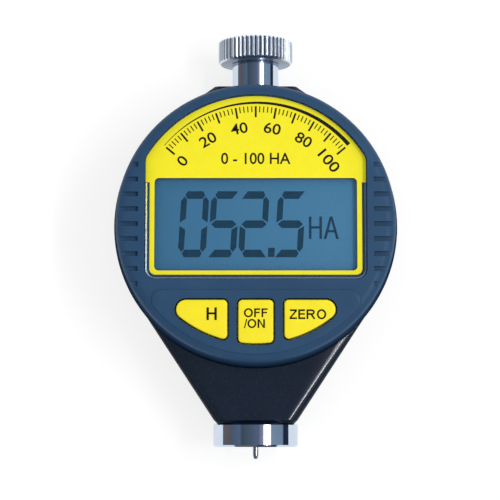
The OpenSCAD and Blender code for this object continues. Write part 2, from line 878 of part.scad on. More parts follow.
// Compression spring: a wire swept along a helix whose end turns lie close
module measuring_spring() {
    sides = 8;
    per_turn = 20;
    rings = ceil(spring_turns * per_turn);
    close_pitch = wire_d * 1.02;
    open_turns = spring_turns - 2;
    open_pitch = (spring_h - wire_d - 2 * close_pitch) / open_turns;
    function height(turn) = wire_d / 2 + close_pitch * min(turn, 1)
        + open_pitch * max(0, min(turn - 1, open_turns)) + close_pitch * max(0, turn - 1 - open_turns);
    function ring_point(i, k) =
        let (turn = spring_turns * i / rings, a = 360 * turn, b = 360 * k / sides,
            r = coil_d / 2 + wire_d / 2 * cos(b))
        [r * cos(a), r * sin(a), height(turn) + wire_d / 2 * sin(b)];
    points = [for (i = [0:rings], k = [0:sides - 1]) ring_point(i, k)];
    walls = [for (i = [0:rings - 1], k = [0:sides - 1]) let (a = i * sides, b = a + sides, n = (k + 1) % sides)
        [a + k, b + k, b + n, a + n]];
    ends = [[for (k = [0:sides - 1]) k], [for (k = [sides - 1:-1:0]) rings * sides + k]];
    color(steel) on_axis(spring_y0) polyhedron(points, concat(walls, ends), convexity = 10);
}

module spring_adjuster() {
    socket_d = 3;
    socket_depth = 1.8;
    color(brass) on_axis(spring_y1) difference() {
        cylinder(d = stem_bore - 2 * fit, h = adjuster_h);
        translate([0, 0, adjuster_h - socket_depth])
            cylinder(d = socket_d, h = socket_depth + past, $fn = 6);
    }
}

// Handle

module stem() {
    color(chrome) difference() {
        union() {
            on_axis(shank_y) cylinder(d = shank_d, h = boss_top - shank_y);
            on_axis(boss_top) cylinder(d = stem_d, h = stem_l);
            on_axis(stem_y1) cylinder(d = stem_top_d, h = stem_top_h);
        }
        on_axis(shank_y - past) cylinder(d = stem_bore, h = knob_y0 + knob_h);
    }
}

// Straight knurl: flat-topped teeth with a vee between them
module knurl_outline() {
    r = knob_d / 2;
    tooth = 360 / knurl_n;
    flat = 0.16 * tooth;
    polygon([for (i = [0:knurl_n - 1], p = [[-flat, r], [flat, r], [tooth / 2, r - knurl_depth]])
        let (a = i * tooth + p[0]) p[1] * [cos(a), sin(a)]]);
}

module knob() {
    edge = 0.5;
    r = knob_d / 2;
    color(chrome) on_axis(knob_y0) difference() {
        intersection() {
            linear_extrude(knob_h) knurl_outline();
            rotate_extrude($fn = fine) polygon([[0, 0], [r - edge, 0], [r + past, edge + past],
                [r + past, knob_h - edge - past], [r - edge, knob_h], [0, knob_h]]);
        }
        translate([0, 0, -past]) cylinder(d = stem_top_d + 2 * run, h = knob_bore_h + past);
    }
}

metal_body();
back_cover();
cover_screws();
battery_cap();
cap_seal();
battery_cell();
battery_contacts();
front_case();
case_screws();
window_lens();
face_label();
lcd_panel();
lcd_frame();
zebra_strips();
main_board();
board_screws();
sensor_board();
key_mat();
hold_key();
power_key();
zero_key();
presser_foot();
lower_bush();
upper_bush();
spindle();
indenter();
scale_carrier();
carrier_screw();
scale_strip();
guide_rod();
spring_seat();
measuring_spring();
spring_adjuster();
stem();
knob();
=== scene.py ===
"""Looks of the pocket durometer: materials, printed marks, display, light and camera."""

import json
import math

import bmesh
import bpy
from mathutils import Matrix, Vector
from mathutils.geometry import tessellate_polygon

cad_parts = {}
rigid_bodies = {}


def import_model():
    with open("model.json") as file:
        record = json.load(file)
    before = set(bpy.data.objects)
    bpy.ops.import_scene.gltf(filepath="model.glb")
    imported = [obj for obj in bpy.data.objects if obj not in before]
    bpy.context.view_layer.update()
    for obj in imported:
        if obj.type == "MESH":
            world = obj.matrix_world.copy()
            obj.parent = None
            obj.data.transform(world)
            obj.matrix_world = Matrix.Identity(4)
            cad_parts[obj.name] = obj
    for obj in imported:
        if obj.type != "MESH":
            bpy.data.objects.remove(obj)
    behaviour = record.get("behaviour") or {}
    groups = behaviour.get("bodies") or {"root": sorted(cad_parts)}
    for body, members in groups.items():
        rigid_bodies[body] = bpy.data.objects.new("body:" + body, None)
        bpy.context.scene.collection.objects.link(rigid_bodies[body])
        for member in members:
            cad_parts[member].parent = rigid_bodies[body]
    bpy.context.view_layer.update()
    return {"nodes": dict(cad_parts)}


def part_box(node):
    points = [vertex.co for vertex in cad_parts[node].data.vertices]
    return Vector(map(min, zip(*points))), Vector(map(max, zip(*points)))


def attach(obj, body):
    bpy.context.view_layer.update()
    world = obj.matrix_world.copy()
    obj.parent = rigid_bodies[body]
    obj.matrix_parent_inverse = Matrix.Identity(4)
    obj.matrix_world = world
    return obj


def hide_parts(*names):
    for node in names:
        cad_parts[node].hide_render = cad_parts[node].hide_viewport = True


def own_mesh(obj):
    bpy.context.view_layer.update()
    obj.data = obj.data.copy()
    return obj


for old in list(bpy.data.objects):
    bpy.data.objects.remove(old, do_unlink=True)

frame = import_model()
nodes = frame["nodes"]
scene = bpy.context.scene

MM = 0.001
WHITE = (1.0, 1.0, 1.0, 1.0)
# Height of the measuring axis, in metres as the frame has it
AXIS_Z = (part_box("stem")[0].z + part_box("stem")[1].z) / 2


# Node tree helpers

def add(tree, kind, inputs=None, **settings):
    """A new node, with its settings and its inputs set or linked."""
    node = tree.nodes.new(kind)
    for key, value in settings.items():
        setattr(node, key, value)
    for key, value in (inputs or {}).items():
        if isinstance(value, bpy.types.NodeSocket):
            tree.links.new(value, node.inputs[key])
        else:
            node.inputs[key].default_value = value
    return node


def srgb(red, green, blue):
    """A colour given as 0 to 255 on screen, as linear values."""
    linear = []
    for c in (red, green, blue):
        c /= 255
        linear.append(c / 12.92 if c <= 0.04045 else ((c + 0.055) / 1.055) ** 2.4)
    return (*linear, 1.0)


def shade(colour, factor):
    """The colour made darker or lighter."""
    return tuple(min(1.0, c * factor) for c in colour[:3]) + (1.0,)


def texture_scale(size):
    """The scale of a texture whose cells are about size millimetres."""
    return 1000 / size


def noise(tree, coord, size, detail=2.0):
    """Noise whose features are about size millimetres."""
    inputs = {"Vector": coord, "Scale": texture_scale(size), "Detail": detail}
    return add(tree, "ShaderNodeTexNoise", inputs).outputs["Fac"]


def remap(tree, value, low, high, to_low=0.0, to_high=1.0, smooth=False):
    """A value from low to high, brought to another range and held at its ends."""
    inputs = {"Value": value, "From Min": low, "From Max": high, "To Min": to_low, "To Max": to_high}
    kind = "SMOOTHSTEP" if smooth else "LINEAR"
    return add(tree, "ShaderNodeMapRange", inputs, interpolation_type=kind).outputs["Result"]


def uneven(tree, coord, size, low, high, detail=2.0):
    """A value that drifts between low and high over about size millimetres."""
    return remap(tree, noise(tree, coord, size, detail), 0.3, 0.7, low, high)


def mix(tree, factor, a, b):
    """Colour a where the factor is nought, colour b where it is one."""
    return add(tree, "ShaderNodeMix", {0: factor, 6: a, 7: b}, data_type="RGBA").outputs[2]


def blend(tree, factor, a, b):
    """Shader a where the factor is nought, shader b where it is one."""
    return add(tree, "ShaderNodeMixShader", {0: factor, 1: a.outputs[0], 2: b.outputs[0]})


def math_node(tree, operation, *values):
    return add(tree, "ShaderNodeMath", dict(enumerate(values)), operation=operation).outputs[0]


def times(tree, a, b):
    return math_node(tree, "MULTIPLY", a, b)


def largest(tree, first, *others):
    """The largest of several values."""
    result = first
    for other in others:
        result = math_node(tree, "MAXIMUM", result, other)
    return result


def coordinate(tree, vector, axis):
    """One coordinate of a vector."""
    return add(tree, "ShaderNodeSeparateXYZ", {0: vector}).outputs[axis]


def facing(tree, axis):
    """How far the surface faces along one axis."""
    return coordinate(tree, add(tree, "ShaderNodeNewGeometry").outputs["Normal"], axis)


def turned_coord(tree, coord):
    """Height along the measuring axis and distance from it, for marks left by turning."""
    across = math_node(tree, "SUBTRACT", coordinate(tree, coord, "Z"), AXIS_Z)
    flat = add(tree, "ShaderNodeCombineXYZ", {"X": coordinate(tree, coord, "X"), "Z": across})
    distance = add(tree, "ShaderNodeVectorMath", {0: flat.outputs[0]}, operation="LENGTH")
    inputs = {"Y": coordinate(tree, coord, "Y"), "Z": distance.outputs["Value"]}
    return add(tree, "ShaderNodeCombineXYZ", inputs).outputs[0]


def edge_mask(tree, width):
    """One along sharp edges, falling to nought over width millimetres; and the rounded normal."""
    rounded = add(tree, "ShaderNodeBevel", {"Radius": width * MM}, samples=6).outputs[0]
    true = add(tree, "ShaderNodeNewGeometry").outputs["Normal"]
    dot = add(tree, "ShaderNodeVectorMath", {0: rounded, 1: true}, operation="DOT_PRODUCT")
    return remap(tree, dot.outputs["Value"], 0.995, 0.9), rounded


class Finish:
    """A Principled material with its object coordinates at hand."""

    def __init__(self, name):
        self.mat = bpy.data.materials.new(name)
        self.mat.use_nodes = True
        self.tree = self.mat.node_tree
        self.bsdf = self.tree.nodes["Principled BSDF"]
        self.coord = add(self.tree, "ShaderNodeTexCoord").outputs["Object"]

    def set(self, key, value):
        """Sets or links an input."""
        if isinstance(value, bpy.types.NodeSocket):
            self.tree.links.new(value, self.bsdf.inputs[key])
        else:
            self.bsdf.inputs[key].default_value = value

    def get(self, key):
        """What an input is linked to."""
        return self.bsdf.inputs[key].links[0].from_socket

    def bump(self, height, depth, normal=None):
        """A normal that follows a height, which is depth millimetres where it is one."""
        inputs = {"Height": height, "Distance": depth * MM, "Strength": 1.0}
        if normal is not None:
            inputs["Normal"] = normal
        return add(self.tree, "ShaderNodeBump", inputs).outputs[0]

    def show(self, shader):
        """Puts another shader in the place of the plain one."""
        self.tree.links.new(shader.outputs[0], self.tree.nodes["Material Output"].inputs["Surface"])


def surface(name, colour, rough, metallic=0.0, tone=0.08, tone_size=4.0, grain=0.2, depth=0.003, spread=0.06,
            edge=None, edge_width=0.15, edge_share=0.4, turned=False, specular=0.5):
    """Mottled colour, uneven gloss and a fine grain, with edges lightened to another colour: rubbed wear on
    some finishes, a painted highlight on others.
    """
    f = Finish(name)
    t = f.tree
    coord = turned_coord(t, f.coord) if turned else f.coord
    patches = uneven(t, f.coord, tone_size, 0.0, 1.0, 3.0)
    base = mix(t, patches, shade(colour, 1 - tone), shade(colour, 1 + tone))
    rounded = None
    if edge is not None:
        # Edge colour: rubbed wear, and on the case, keys and enamel partly a painted highlight along edges.
        mask, rounded = edge_mask(t, edge_width)
        wear_and_sheen = times(t, mask, uneven(t, f.coord, 1.2, 0.2, 1.0))
        base = mix(t, times(t, wear_and_sheen, edge_share), base, edge)
    f.set("Base Color", base)
    f.set("Metallic", metallic)
    f.set("Specular IOR Level", specular)
    f.set("Roughness", uneven(t, coord, tone_size * 0.4, rough - spread, rough + spread, 3.0))
    f.set("Normal", f.bump(noise(t, coord, grain), depth, rounded))
    return f


# Materials

CASE = srgb(39, 74, 108)
YELLOW = srgb(252, 234, 34)
FILM = srgb(255, 241, 28)
PLATING = srgb(202, 215, 232)


def enamel():
    """Gloss black die-cast paint with orange peel and fine grey specks, dull down its sides."""
    # Its lighter edge colour is partly rubbed wear and partly a painted sheen along the edges.
    f = surface("gloss_enamel", srgb(16, 26, 41), 0.1, tone=0.15, tone_size=6.0, grain=0.6, depth=0.004,
                spread=0.04, edge=srgb(44, 54, 70), edge_width=0.35, edge_share=0.5)
    t = f.tree
    inputs = {"Vector": f.coord, "Scale": texture_scale(0.31), "Randomness": 1.0}
    cells = add(t, "ShaderNodeTexVoronoi", inputs).outputs
    near = remap(t, cells["Distance"], 0.34, 0.16)
    some = remap(t, coordinate(t, cells["Color"], "X"), 0.72, 0.8)
    specks = times(t, times(t, near, some), 0.28)
    f.set("Base Color", mix(t, specks, f.get("Base Color"), srgb(86, 102, 118)))
    front = facing(t, "Z")
    f.set("Roughness", largest(t, f.get("Roughness"), remap(t, front, 0.7, 0.88, 0.42, 0.05)))
    f.set("Coat Weight", remap(t, front, 0.7, 0.88))
    f.set("Specular IOR Level", remap(t, front, 0.7, 0.88, 0.08, 0.5))
    f.set("Coat Roughness", 0.04)
    return f


def moulding():
    """Blue-grey case plastic with a fine grain, with painted shade down its drafted side, darkest at the
    bottom.
    """
    # Its lighter edge colour is partly rubbed wear and partly a painted highlight along the edges and the
    # ends of the grip grooves.
    f = surface("case_plastic", CASE, 0.48, tone=0.07, tone_size=7.0, grain=0.16, depth=0.004, spread=0.06,
                edge=srgb(84, 112, 148), edge_width=0.2, edge_share=0.4, specular=0.22)
    t = f.tree
    front = facing(t, "Z")
    # Painted shade: the side, where the surface turns away from the front, is darkened, and darker still
    # towards the bottom.
    low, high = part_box("front_case")
    rise = remap(t, coordinate(t, f.coord, "Z"), low.z + 2 * MM, high.z - 1 * MM)
    side = mix(t, rise, srgb(22, 40, 64), srgb(46, 76, 108))
    f.set("Base Color", mix(t, remap(t, front, 0.1, 0.4), side, f.get("Base Color")))
    f.set("Specular IOR Level", remap(t, front, 0.15, 0.4, 0.0, 0.22))
    return f


def clear_window():
    """Acrylic that lets lamps and bounced light through to the print behind it, with clear side walls."""
    f = Finish("clear_acrylic")
    t = f.tree
    f.set("Base Color", WHITE)
    f.set("Transmission Weight", 1.0)
    f.set("IOR", 1.1)
    f.set("Coat Weight", 0.6)
    f.set("Coat Roughness", 0.02)
    f.set("Roughness", remap(t, noise(t, f.coord, 5.0, 4.0), 0.45, 0.75, 0.0, 0.035))
    rays = add(t, "ShaderNodeLightPath").outputs
    wall = remap(t, math_node(t, "ABSOLUTE", facing(t, "Z")), 0.5, 0.6, 1.0, 0.0)
    through = largest(t, rays["Is Shadow Ray"], rays["Is Diffuse Ray"], rays["Is Glossy Ray"], wall)
    clear = add(t, "ShaderNodeBsdfTransparent", {"Color": WHITE})
    f.show(blend(t, through, f.bsdf, clear))
    return f


def display():
    """Blue-grey reflective display glass with painted light, a little brighter to the right towards the
    lamp, and a fine sparkle.
    """
    f = Finish("display_glass")
    t = f.tree
    low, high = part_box("lcd_panel")
    # Painted light: the colour brightens from left to right, towards the lamp.
    across = remap(t, coordinate(t, f.coord, "X"), low.x, high.x)
    base = mix(t, across, srgb(58, 112, 148), srgb(72, 130, 168))
    fine = remap(t, noise(t, f.coord, 0.35, 3.0), 0.25, 0.75)
    f.set("Base Color", mix(t, times(t, fine, 0.3), base, srgb(52, 106, 150)))
    f.set("Specular IOR Level", 0.2)
    f.set("Roughness", uneven(t, f.coord, 1.5, 0.3, 0.42))
    f.set("Normal", f.bump(noise(t, f.coord, 0.12), 0.0008))
    return f


def board():
    """Green lacquer with lighter copper runs under it and tinned pads."""
    f = Finish("circuit_board")
    t = f.tree
    inputs = {"Vector": f.coord, "Scale": texture_scale(2.6), "Mortar Size": 0.06,
              "Color1": srgb(20, 84, 52), "Color2": srgb(24, 96, 58), "Mortar": srgb(58, 140, 84)}
    runs = add(t, "ShaderNodeTexBrick", inputs).outputs
    dots = add(t, "ShaderNodeTexVoronoi", {"Vector": f.coord, "Scale": texture_scale(1.9)})
    pads = remap(t, dots.outputs["Distance"], 0.2, 0.17)
    f.set("Base Color", mix(t, pads, runs["Color"], srgb(196, 184, 140)))
    f.set("Metallic", times(t, pads, 0.8))
    f.set("Roughness", uneven(t, f.coord, 1.0, 0.28, 0.42))
    f.set("Normal", f.bump(runs["Fac"], 0.02))
    return f


def striped(name, dark, light, pitch, axis, rough):
    """Fine bars across one axis, as in a rubber contact strip or a glass scale."""
    f = Finish(name)
    t = f.tree
    phase = math_node(t, "FRACT", times(t, coordinate(t, f.coord, axis), texture_scale(pitch)))
    f.set("Base Color", mix(t, remap(t, phase, 0.46, 0.54), dark, light))
    f.set("Roughness", uneven(t, f.coord, 0.8, rough - 0.08, rough + 0.08))
    f.set("Normal", f.bump(noise(t, f.coord, 0.15), 0.002))
    return f


def chrome(name, rough, colour=PLATING):
    """Bright plating over turned metal: faint rings, tiny pits and a thin haze."""
    f = surface(name, colour, rough, metallic=1.0, tone=0.03, tone_size=5.0, grain=0.09,
                depth=0.0006, spread=0.02, turned=True)
    pits = remap(f.tree, noise(f.tree, f.coord, 0.3), 0.68, 0.76)
    f.set("Normal", f.bump(pits, -0.003, f.get("Normal")))
    return f


def satin_chrome():
    """Plating on the knurl, with painted shade down in the grooves, and the faced ends left duller and
    darker, their darker colour partly painted shade.
    """
    f = chrome("satin_chrome", 0.3, srgb(234, 241, 250))
    t = f.tree
    endways = math_node(t, "ABSOLUTE", facing(t, "Y"))
    faced = remap(t, endways, 0.75, 0.9)
    turned = turned_coord(t, f.coord)
    low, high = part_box("knob")
    crest = (high.x - low.x) / 2
    out = coordinate(t, turned, "Z")
    # Painted shade: a dark colour down in the grooves of the knurl, on its sides only.
    depth = remap(t, out, crest - 0.32 * MM, crest - 0.12 * MM, 1.0, 0.0, smooth=True)
    groove_shade = times(t, depth, remap(t, endways, 0.3, 0.6, 1.0, 0.0))
    base = mix(t, groove_shade, f.get("Base Color"), srgb(74, 88, 116))
    # The faced ends get a darker colour, partly a duller finish and partly painted shade.
    f.set("Base Color", mix(t, faced, base, srgb(168, 181, 200)))
    f.set("Roughness", largest(t, f.get("Roughness"), times(t, faced, 0.42)))
    rings = times(t, noise(t, turned, 0.3), faced)
    f.set("Normal", f.bump(rings, 0.008, f.get("Normal")))
    return f


def polished_seat():
    """Bright moulded ledge with a painted yellow reflection of the film, strongest at the top of its left
    side.
    """
    f = surface("polished_seat", srgb(138, 160, 186), 0.4, metallic=0.75, tone=0.06, tone_size=1.5,
                grain=0.25, depth=0.0006, spread=0.04)
    t = f.tree
    # Painted reflection: the film's yellow, growing towards the top and towards the left.
    rise = remap(t, coordinate(t, f.coord, "Y"), -13 * MM, 6 * MM, 0.0, 0.9)
    left = remap(t, coordinate(t, f.coord, "X"), 0.0, -20 * MM)
    f.set("Base Color", mix(t, times(t, rise, left), f.get("Base Color"), srgb(178, 168, 66)))
    return f


finishes = {}


def keep(finish, *names):
    """Gives a finish to the nodes of these names."""
    for name in names:
        finishes[name] = finish.mat


keep(enamel(), "metal_body")
keep(moulding(), "front_case")
keep(surface("cover_plastic", srgb(30, 34, 40), 0.55, tone=0.12, tone_size=3.0, grain=0.32, depth=0.02,
             edge=srgb(64, 70, 78), edge_width=0.2),
     "back_cover", "battery_cap")
# The pale edge colour of the keys is a painted highlight round their rims.
keep(surface("key_plastic", YELLOW, 0.38, tone=0.035, tone_size=3.0, grain=0.14, depth=0.002,
             edge=srgb(255, 248, 130), edge_width=0.25, edge_share=0.35, specular=0.3),
     "hold_key", "power_key", "zero_key")
keep(surface("printed_film", FILM, 0.5, tone=0.025, tone_size=2.0, grain=0.1, depth=0.0008, specular=0.2),
     "face_label")
keep(clear_window(), "window_lens")
keep(display(), "lcd_panel")
keep(surface("pale_plastic", srgb(198, 202, 200), 0.5, tone=0.05, grain=0.25, depth=0.003), "lcd_frame")
keep(striped("contact_rubber", srgb(28, 28, 30), srgb(206, 150, 150), 0.4, "X", 0.6), "zebra_strips")
keep(board(), "main_board", "sensor_board")
keep(surface("key_silicone", srgb(168, 172, 174), 0.6, tone=0.05, grain=0.3, depth=0.003), "key_mat")
keep(surface("seal_rubber", srgb(18, 18, 19), 0.55, tone=0.15, tone_size=1.0, grain=0.1, depth=0.002),
     "cap_seal")
keep(surface("carrier_plastic", srgb(196, 190, 176), 0.5, tone=0.06, grain=0.3, depth=0.004),
     "scale_carrier")
keep(striped("glass_scale", srgb(34, 44, 52), srgb(188, 200, 204), 0.5, "Y", 0.2), "scale_strip")
keep(chrome("bright_chrome", 0.05), "presser_foot", "stem")
keep(satin_chrome(), "knob")
keep(surface("bright_steel", srgb(196, 200, 204), 0.24, metallic=1.0, tone=0.06, tone_size=1.5, grain=0.08,
             depth=0.0015, spread=0.08, edge=srgb(236, 238, 240), edge_width=0.06),
     "cover_screws", "case_screws", "board_screws", "battery_cell", "carrier_screw")
keep(surface("ground_steel", srgb(188, 192, 196), 0.18, metallic=1.0, tone=0.05, tone_size=2.0, grain=0.06,
             depth=0.0008, turned=True),
     "spindle", "indenter", "guide_rod", "measuring_spring")
keep(surface("turned_brass", srgb(206, 168, 92), 0.28, metallic=1.0, tone=0.08, tone_size=1.5, grain=0.07,
             depth=0.0012, turned=True),
     "lower_bush", "upper_bush", "spring_seat", "spring_adjuster", "battery_contacts")

ink = surface("black_ink", srgb(20, 13, 6), 0.55, tone=0.25, tone_size=0.6, grain=0.06, depth=0.0006,
              specular=0.2)
segment_ink = surface("display_segments", srgb(13, 58, 83), 0.4, tone=0.06, tone_size=1.2, grain=0.1,
                      depth=0.0005, specular=0.2)
seat_gloss = polished_seat()

for name, obj in nodes.items():
    obj.data.materials.clear()
    obj.data.materials.append(finishes[name])


# Rounded shading on the solids that come as flat facets

# Points nearer than this, in metres, are one point
WELD = 2e-6
# Edges that turn more than this, in degrees, stay sharp, on moulded solids and on the knurl
MOULDED_EDGE = 28
KNURL_EDGE = 62


def set_smooth(group, geometry, smooth, domain, selection=True):
    """Shades the chosen faces smooth or flat, or the chosen edges soft or sharp."""
    inputs = {"Geometry": geometry, "Selection": selection, "Shade Smooth": smooth}
    return add(group, "GeometryNodeSetShadeSmooth", inputs, domain=domain).outputs[0]


def greater(group, value, limit):
    """Whether a value is over a limit."""
    node = add(group, "FunctionNodeCompare", {"A": value, "B": limit}, data_type="FLOAT",
               operation="GREATER_THAN")
    return node.outputs[0]


def smoothing(label, turn, sides_only=False):
    """Welds facets and shades across edges that turn less than this, on the sides alone or everywhere."""
    group = bpy.data.node_groups.new(label, "GeometryNodeTree")
    for side in ("INPUT", "OUTPUT"):
        group.interface.new_socket("Geometry", in_out=side, socket_type="NodeSocketGeometry")
    start = add(group, "NodeGroupInput").outputs[0]
    weld = add(group, "GeometryNodeMergeByDistance", {"Geometry": start, "Distance": WELD}).outputs[0]
    soft = set_smooth(group, weld, True, "FACE")
    if sides_only:
        endways = coordinate(group, add(group, "GeometryNodeInputNormal").outputs[0], "Y")
        ends = greater(group, math_node(group, "ABSOLUTE", endways), 0.3)
        soft = set_smooth(group, soft, False, "FACE", ends)
    angle = add(group, "GeometryNodeInputMeshEdgeAngle").outputs["Unsigned Angle"]
    corner = greater(group, angle, math.radians(turn))
    crisp = set_smooth(group, soft, False, "EDGE", corner)
    add(group, "NodeGroupOutput", {0: crisp})
    return group


def reshade(obj, group):
    """Drops the facets' own normals and shades the solid by a node group."""
    own = obj.data.attributes.get("custom_normal")
    if own is not None:
        obj.data.attributes.remove(own)
    obj.modifiers.new("weld", "NODES").node_group = group


weld_and_smooth = smoothing("weld_and_smooth", MOULDED_EDGE)
for name in ("metal_body", "front_case", "hold_key", "power_key", "zero_key", "key_mat"):
    reshade(nodes[name], weld_and_smooth)
    weighted = nodes[name].modifiers.new("normals", "WEIGHTED_NORMAL")
    weighted.keep_sharp = True
    weighted.weight = 60
reshade(nodes["knob"], smoothing("rounded_teeth", KNURL_EDGE, sides_only=True))


# Flat printed shapes, in millimetres

# How far prints reach into what carries them, and how far they stand out of it
SINK = 0.03
PRINT = 0.02


def print_heights(name):
    """The heights between which a print on top of a node lies."""
    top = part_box(name)[1].z / MM
    return top - SINK, top + PRINT


def rectangle(x0, y0, x1, y1):
    return [(x0, y0), (x1, y0), (x1, y1), (x0, y1)]


def bend(x, y, across, up, first, last, n=16):
    """Points along an arc of an ellipse about x, y, from one angle in degrees to another."""
    turns = [math.radians(first + (last - first) * i / n) for i in range(n + 1)]
    return [(x + across * math.cos(a), y + up * math.sin(a)) for a in turns]


def prism(bm, loops, z0, z1, place=Matrix.Identity(4)):
    """A flat shape between two heights, from its outer loop and the loops of its holes."""
    flat = [[Vector((x, y, 0.0)) for x, y in loop] for loop in loops]
    points = [p for loop in flat for p in loop]
    rings = []
    for z in (z0, z1):
        rings.append([bm.verts.new(place @ Vector((p.x * MM, p.y * MM, z * MM))) for p in points])
    bottom, top = rings
    for a, b, c in tessellate_polygon(flat):
        if (points[b] - points[a]).cross(points[c] - points[a]).z < 0:
            b, c = c, b
        bm.faces.new((top[a], top[b], top[c]))
        bm.faces.new((bottom[a], bottom[c], bottom[b]))
    first = 0
    for loop in flat:
        for i in range(len(loop)):
            a = first + i
            b = first + (i + 1) % len(loop)
            bm.faces.new((bottom[a], bottom[b], top[b], top[a]))
        first += len(loop)


def lettering(bm, words, low, high, z0, z1, turn=0.0):
    """Words scaled to fill a box from low to high, turned about its middle."""
    curve = bpy.data.curves.new("words", "FONT")
    curve.body = words
    curve.extrude = 0.5
    curve.resolution_u = 6
    curve.offset = 0.012
    holder = bpy.data.objects.new("words", curve)
    scene.collection.objects.link(holder)
    mesh = bpy.data.meshes.new_from_object(holder.evaluated_get(bpy.context.evaluated_depsgraph_get()))
    bpy.data.objects.remove(holder)
    bpy.data.curves.remove(curve)
    xs = [v.co.x for v in mesh.vertices]
    ys = [v.co.y for v in mesh.vertices]
    wide = (high[0] - low[0]) * MM / (max(xs) - min(xs))
    tall = (high[1] - low[1]) * MM / (max(ys) - min(ys))
    fit = Matrix.Diagonal((wide, tall, (z1 - z0) * MM, 1))
    centred = Matrix.Translation((-(max(xs) + min(xs)) / 2, -(max(ys) + min(ys)) / 2, 0))
    middle = Vector(((low[0] + high[0]) / 2, (low[1] + high[1]) / 2, (z0 + z1) / 2)) * MM
    mesh.transform(Matrix.Translation(middle) @ Matrix.Rotation(turn, 4, "Z") @ fit @ centred)
    bm.from_mesh(mesh)
    bpy.data.meshes.remove(mesh)


def piece(name, bm, material, body):
    """The finished mesh as an object that rides on a body."""
    bmesh.ops.remove_doubles(bm, verts=bm.verts, dist=1e-7)
    bmesh.ops.recalc_face_normals(bm, faces=bm.faces)
    mesh = bpy.data.meshes.new(name)
    bm.to_mesh(mesh)
    bm.free()
    mesh.materials.append(material)
    obj = bpy.data.objects.new(name, mesh)
    scene.collection.objects.link(obj)
    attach(obj, body)
    return obj


# Printed scale of the face, in millimetres from the middle of the case

# Outer radius of the ticks, and the angles of the first and the last
SCALE_R = 24.3
SCALE_FIRST = math.radians(140)
SCALE_LAST = math.radians(40)
# Length and half the width of a tick
LONG_TICK = (2.3, 0.2)
SHORT_TICK = (1.25, 0.11)
# Inner radius of the band beyond the ticks, its width at nought and what it gains up to 100
BAND_R = SCALE_R + 0.5
BAND_W = 0.1
BAND_GAIN = 0.75
# Radius that the numbers stand on, half their width by their count of figures, and half their height
NUMBER_R = SCALE_R - 4.4
NUMBER_HALF_W = (0.85, 1.75, 2.55)
NUMBER_HALF_H = 1.15
# Box of the words that name the range
RANGE_LOW = (-7.2, 12.1)
RANGE_HIGH = (7.2, 14.5)


def scale_turn(value):
    """The angle at which a value lies on the arch."""
    return SCALE_FIRST + (SCALE_LAST - SCALE_FIRST) * value / 100


def scale_point(radius, value):
    return (radius * math.cos(scale_turn(value)), radius * math.sin(scale_turn(value)))


def face_scale():
    """A plain numbered scale from 0 to 100 along the arch of the face, with a widening band."""
    bm = bmesh.new()
    z0, z1 = print_heights("face_label")
    for value in range(0, 101, 2):
        length, half = LONG_TICK if value % 10 == 0 else SHORT_TICK
        place = Matrix.Rotation(scale_turn(value), 4, "Z")
        prism(bm, [rectangle(SCALE_R - length, -half, SCALE_R, half)], z0, z1, place)
    band = [scale_point(BAND_R, v) for v in range(0, 101, 2)]
    band += [scale_point(BAND_R + BAND_W + BAND_GAIN * v / 100, v) for v in range(100, -1, -2)]
    prism(bm, [band], z0, z1)
    for value in range(0, 101, 20):
        number = str(value)
        x, y = scale_point(NUMBER_R, value)
        half = NUMBER_HALF_W[len(number) - 1]
        low = (x - half, y - NUMBER_HALF_H)
        high = (x + half, y + NUMBER_HALF_H)
        lettering(bm, number, low, high, z0, z1, scale_turn(value) - math.pi / 2)
    lettering(bm, "0 - 100 HA", RANGE_LOW, RANGE_HIGH, z0, z1)
    piece("face_scale", bm, ink.mat, "housing")


face_scale()


# Seat that the window lies on, in millimetres

# Corner radius at the window's edge, and where the seat ends at the sides
SEAT_R = 2.2
SEAT_END_Y = 8.1
# How far in from the window's edge, and how far above the film's back, its slope begins and ends
SLOPE_OUTER = (0.2, 0.25)
SLOPE_INNER = (0.42, 0.18)


def seat_path(inset):
    """Down the left side of the window, along its foot and up the right side, set in from its edge."""
    low, high = (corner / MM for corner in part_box("window_lens"))
    r = SEAT_R - inset
    left = bend(low.x + SEAT_R, low.y + SEAT_R, r, r, 180, 270, 10)
    right = bend(high.x - SEAT_R, low.y + SEAT_R, r, r, 270, 360, 10)
    return [(low.x + inset, SEAT_END_Y), *left, *right, (high.x - inset, SEAT_END_Y)]


def window_seat():
    """A polished ledge round the sides and foot of the window, sloping in under its clear border."""
    bm = bmesh.new()
    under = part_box("face_label")[0].z / MM
    outer, outer_rise = SLOPE_OUTER
    inner, inner_rise = SLOPE_INNER
    section = [(outer, under - SINK), (outer, under + outer_rise),
               (inner, under + inner_rise), (inner, under - SINK)]
    rails = []
    for inset, z in section:
        rails.append([bm.verts.new((x * MM, y * MM, z * MM)) for x, y in seat_path(inset)])
    for a, b in zip(rails, rails[1:] + rails[:1]):
        for i in range(len(a) - 1):
            bm.faces.new((a[i], a[i + 1], b[i + 1], b[i]))
    for end in (0, -1):
        bm.faces.new([rail[end] for rail in rails])
    piece("window_seat", bm, seat_gloss.mat, "housing")


window_seat()


# Measuring spring, in millimetres

WIRE = 0.7
TURNS = 7
OPEN_TURNS = TURNS - 2
# Rise of each end turn, which lies on the next
CLOSE_PITCH = WIRE * 1.02
# Steps round a turn of the coil, and sides of its wire
COIL_STEPS = 32
WIRE_SIDES = 12


